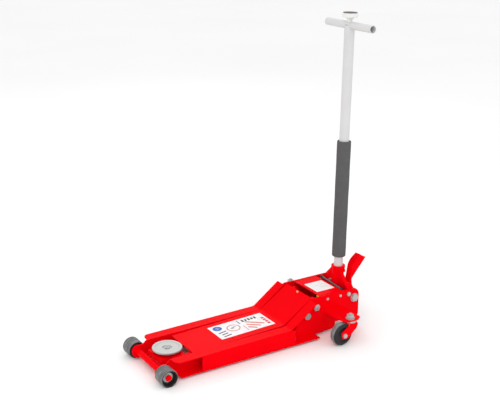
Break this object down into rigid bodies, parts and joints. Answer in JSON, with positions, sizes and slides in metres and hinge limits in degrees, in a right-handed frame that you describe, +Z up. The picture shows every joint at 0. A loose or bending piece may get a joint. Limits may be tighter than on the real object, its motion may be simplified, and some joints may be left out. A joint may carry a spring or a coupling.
{
  "type": "car jack",
  "caption": "Long low-profile hydraulic trolley jack with steel front wheels, swivel rear casters, a round saddle on a levelled lift arm, and an upright pump handle with a cross bar.",
  "frame": {"origin": "middle of the jack's footprint, on the floor", "axes": "+Z up; +X towards the handle end, so the saddle and front wheels are at -X; +Y is the jack's right side for someone who stands at the handle and looks at the saddle"},
  "size_m": [0.9388, 0.452, 1.1975],
  "materials": {
    "red_paint": "glossy red enamel on steel sheet and bar",
    "zinc_fasteners": "bright zinc plate",
    "bare_steel": "oiled machined steel",
    "chromed_rod": "ground hard chrome",
    "cast_saddle": "machined cast steel",
    "black_casting": "satin black paint on castings",
    "wheel_steel": "satin dark grey steel wheel",
    "caster_polymer": "black moulded wheel",
    "black_sleeve": "black moulded cap",
    "label_white": "printed vinyl",
    "brass_nipple": "plated grease nipple",
    "handle_paint": "light grey satin coat on tube",
    "foam": "closed-cell foam",
    "knob_plastic": "moulded off-white plastic"
  },
  "bodies": {
    "frame": {"left_side_plate": "red_paint", "right_side_plate": "red_paint", "boxing_plates": "red_paint", "rear_cover": "red_paint", "rear_cover_screws": "zinc_fasteners", "front_axle": "red_paint", "axle_retaining_rings": "zinc_fasteners", "main_pivot_shaft": "bare_steel", "main_pivot_nuts": "zinc_fasteners", "radius_rod_pivot_bolts": "zinc_fasteners", "left_caster_bracket": "red_paint", "right_caster_bracket": "red_paint", "caster_king_bolts": "zinc_fasteners", "pump_block": "black_casting", "oil_reservoir": "black_casting", "ram_cylinder": "black_casting", "handle_pivot_bolts": "zinc_fasteners", "handle_stop_bolts": "zinc_fasteners", "deck_tie_rod": "bare_steel", "deck_tie_rod_sleeves": "black_sleeve", "deck_label": "label_white", "arm_return_springs": "bare_steel", "pump_plunger_spring": "bare_steel"},
    "lift_arm": {"arm_cover": "red_paint", "arm_side_plates": "red_paint", "arm_pivot_tube": "red_paint", "crosshead_pin": "bare_steel", "arm_front_pins": "zinc_fasteners", "arm_label": "label_white", "grease_nipple": "brass_nipple"},
    "radius_links": {"radius_rods": "red_paint"},
    "saddle_carrier": {"saddle_bracket": "red_paint", "radius_rod_pin": "bare_steel"},
    "saddle_plate": {"saddle": "cast_saddle", "saddle_screw": "zinc_fasteners"},
    "ram_unit": {"ram": "chromed_rod", "crosshead": "bare_steel"},
    "plunger_unit": {"pump_plunger": "chromed_rod"},
    "valve": {"release_valve_spindle": "bare_steel"},
    "handle": {"handle_yoke": "red_paint", "yoke_clamp_bolt": "zinc_fasteners", "handle_lower_tube": "handle_paint", "handle_upper_tube": "handle_paint", "handle_grip": "foam", "handle_cross_bar": "handle_paint"},
    "roller": {"cam_roller": "bare_steel"},
    "release": {"release_knob": "knob_plastic", "release_knob_cap": "black_sleeve", "release_rod": "bare_steel"},
    "pedal": {"foot_pedal": "red_paint"},
    "left_wheel": {"left_front_wheel": "wheel_steel"},
    "right_wheel": {"right_front_wheel": "wheel_steel"},
    "left_caster": {"left_caster_fork": "red_paint", "left_caster_bearing": "zinc_fasteners", "left_caster_axle_bolt": "zinc_fasteners"},
    "right_caster": {"right_caster_fork": "red_paint", "right_caster_bearing": "zinc_fasteners", "right_caster_axle_bolt": "zinc_fasteners"},
    "left_caster_roller": {"left_caster_wheel": "caster_polymer"},
    "right_caster_roller": {"right_caster_wheel": "caster_polymer"}
  },
  "joints": [
    {"name": "left_wheel_spin", "type": "hinge", "parent": "frame", "child": "left_wheel", "pos_m": [-0.43745, -0.129, 0.032], "axis": [0, 1, 0], "continuous": true},
    {"name": "right_wheel_spin", "type": "hinge", "parent": "frame", "child": "right_wheel", "pos_m": [-0.43745, 0.129, 0.032], "axis": [0, 1, 0], "continuous": true},
    {"name": "left_caster_swivel", "type": "hinge", "parent": "frame", "child": "left_caster", "pos_m": [0.29755, -0.198, 0.084], "axis": [0, 0, 1], "continuous": true},
    {"name": "right_caster_swivel", "type": "hinge", "parent": "frame", "child": "right_caster", "pos_m": [0.29755, 0.198, 0.084], "axis": [0, 0, 1], "continuous": true},
    {"name": "left_caster_spin", "type": "hinge", "parent": "left_caster", "child": "left_caster_roller", "pos_m": [0.25655, -0.198, 0.043], "axis": [0, 1, 0], "continuous": true},
    {"name": "right_caster_spin", "type": "hinge", "parent": "right_caster", "child": "right_caster_roller", "pos_m": [0.25655, 0.198, 0.043], "axis": [0, 1, 0], "continuous": true},
    {"name": "arm_lift", "type": "hinge", "parent": "frame", "child": "lift_arm", "pos_m": [0.21785, 0, 0.1186], "axis": [0, 1, 0], "range_deg": [0, 48]},
    {"name": "radius_rod_swing", "type": "hinge", "parent": "frame", "child": "radius_links", "pos_m": [0.17794, 0, 0.0908], "axis": [0, 1, 0], "range_deg": [0, 48]},
    {"name": "saddle_level", "type": "hinge", "parent": "lift_arm", "child": "saddle_carrier", "pos_m": [-0.36745, 0, 0.044], "axis": [0, 1, 0], "range_deg": [-48, 0]},
    {"name": "saddle_turn", "type": "hinge", "parent": "saddle_carrier", "child": "saddle_plate", "pos_m": [-0.36675, 0, 0.0705], "axis": [0, 0, 1], "continuous": true},
    {"name": "ram_stroke", "type": "slide", "parent": "frame", "child": "ram_unit", "axis": [-1, 0, 0], "range_m": [0, 0.0508], "deforming": ["arm_return_springs"]},
    {"name": "handle_swing", "type": "hinge", "parent": "frame", "child": "handle", "pos_m": [0.39504, 0, 0.1192], "axis": [0, 1, 0], "range_deg": [0, 60], "stiffness_Nm_per_rad": 20, "springref_deg": -28.65},
    {"name": "plunger_stroke", "type": "slide", "parent": "frame", "child": "plunger_unit", "axis": [-1, 0, 0], "range_m": [0, 0.02], "deforming": ["pump_plunger_spring"]},
    {"name": "cam_roller_spin", "type": "hinge", "parent": "handle", "child": "roller", "pos_m": [0.39504, 0.024, 0.0972], "axis": [0, 1, 0], "continuous": true},
    {"name": "release_turn", "type": "hinge", "parent": "handle", "child": "release", "pos_m": [0.38325, 0, 0.13], "axis": [0.0216, 0, 0.9998], "range_deg": [0, 180]},
    {"name": "valve_turn", "type": "hinge", "parent": "frame", "child": "valve", "pos_m": [0.38325, 0, 0.09], "axis": [0, 0, 1], "range_deg": [0, 180]},
    {"name": "pedal_press", "type": "hinge", "parent": "handle", "child": "pedal", "pos_m": [0.39504, -0.045, 0.1192], "axis": [0, 1, 0], "range_deg": [0, 25], "stiffness_Nm_per_rad": 6, "springref_deg": -8.59}
  ],
  "couplings": [
    {"joint": "radius_rod_swing", "follows": "arm_lift", "ratio": 1},
    {"joint": "saddle_level", "follows": "arm_lift", "ratio": -1},
    {"joint": "ram_stroke", "follows": "arm_lift", "m_per_rad": 0.0606},
    {"joint": "plunger_stroke", "follows": "handle_swing", "m_per_rad": 0.019},
    {"joint": "valve_turn", "follows": "release_turn", "ratio": 1}
  ]
}
